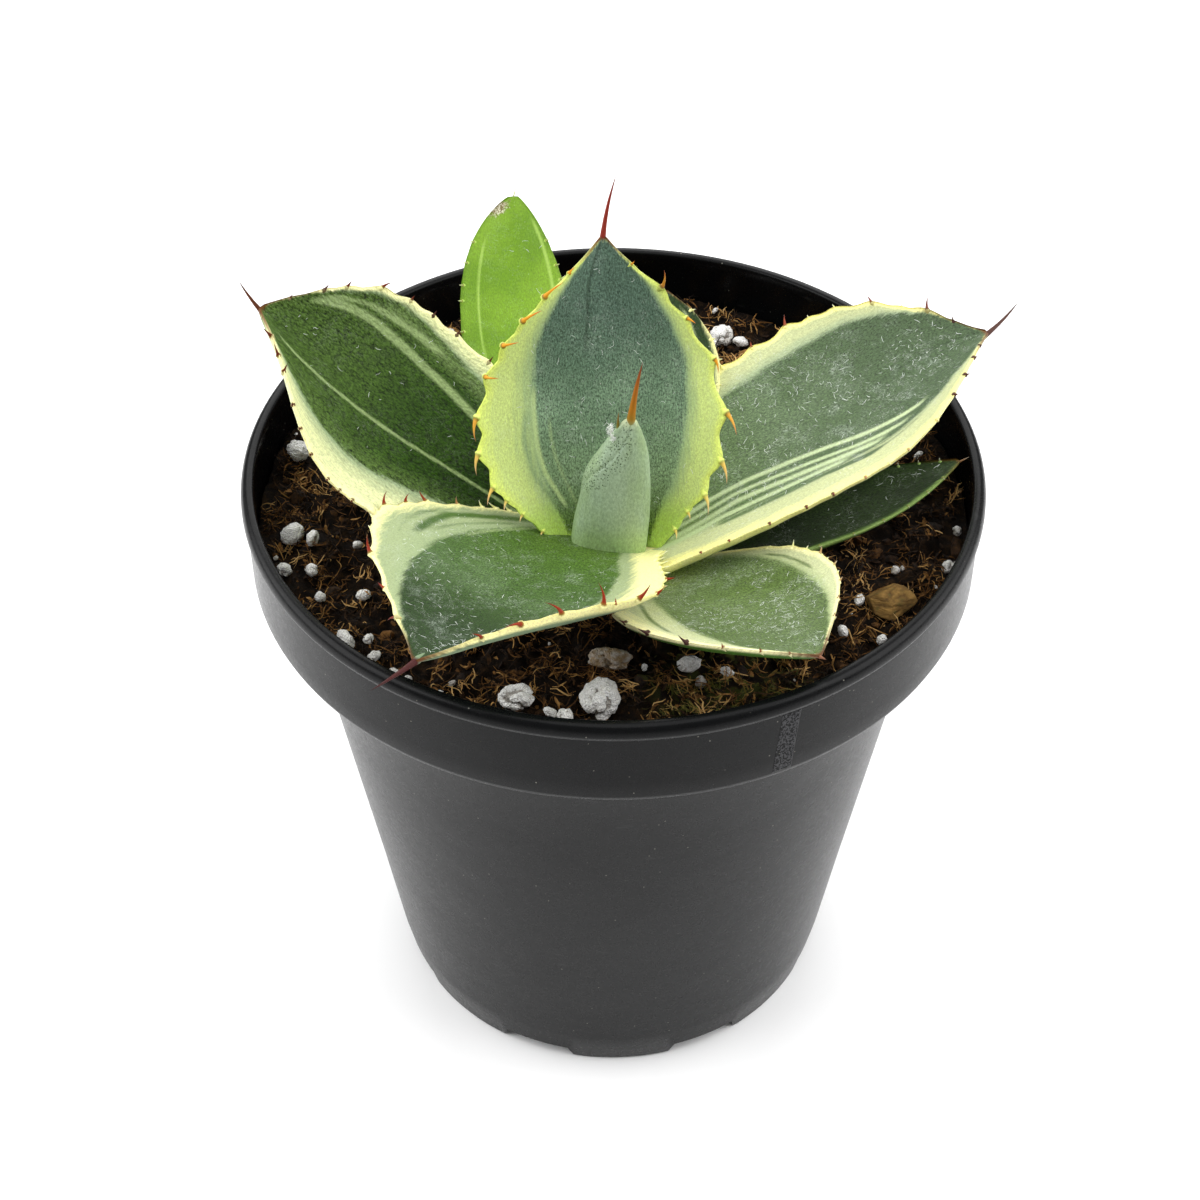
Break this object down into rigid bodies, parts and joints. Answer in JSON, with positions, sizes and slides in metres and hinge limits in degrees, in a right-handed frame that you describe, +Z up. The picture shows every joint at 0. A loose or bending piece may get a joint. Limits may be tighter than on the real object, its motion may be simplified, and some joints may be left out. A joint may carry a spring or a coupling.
{
  "type": "potted artichoke agave",
  "caption": "Young variegated artichoke agave rosette with toothed, spine-tipped leaves, rooted in soil in a round tapered nursery pot.",
  "frame": {"origin": "centre of the pot's underside, on the surface that its feet and centre pad stand on", "axes": "+Z up along the pot's axis, -Y towards the picture's viewer, +X to the viewer's right"},
  "size_m": [0.1591, 0.164, 0.1982],
  "materials": {
    "pot_plastic": "satin black, thin moulded plastic",
    "soil_mix": "loose coir and peat potting mix with perlite",
    "stem_green": "fleshy plant stem",
    "bud_green": "waxy pale grey-green furled leaf, orange-brown spine",
    "leaf_blue_green": "waxy blue-green leaf, yellow-green margins, orange teeth",
    "leaf_grey_green": "waxy grey-green leaf, cream margins, red-brown teeth",
    "leaf_dark_green": "glossy dark green leaf, small brown teeth",
    "leaf_lime": "smooth lime green leaf",
    "perlite": "rough pitted white perlite",
    "bark": "rough ochre bark"
  },
  "bodies": {
    "root": {"pot": "pot_plastic", "soil": "soil_mix", "crown_stem": "stem_green", "centre_bud": "bud_green", "leaf_centre_back": "leaf_blue_green", "leaf_front_left": "leaf_grey_green", "leaf_right": "leaf_grey_green", "leaf_left": "leaf_dark_green", "leaf_front_right": "leaf_grey_green", "leaf_back_right": "leaf_grey_green", "leaf_back_left": "leaf_lime", "leaf_right_low": "leaf_dark_green", "perlite_front_large": "perlite", "perlite_front_left": "perlite", "perlite_front_long": "perlite", "perlite_back_right": "perlite", "perlite_left": "perlite", "bark_chip": "bark"}
  },
  "joints": []
}
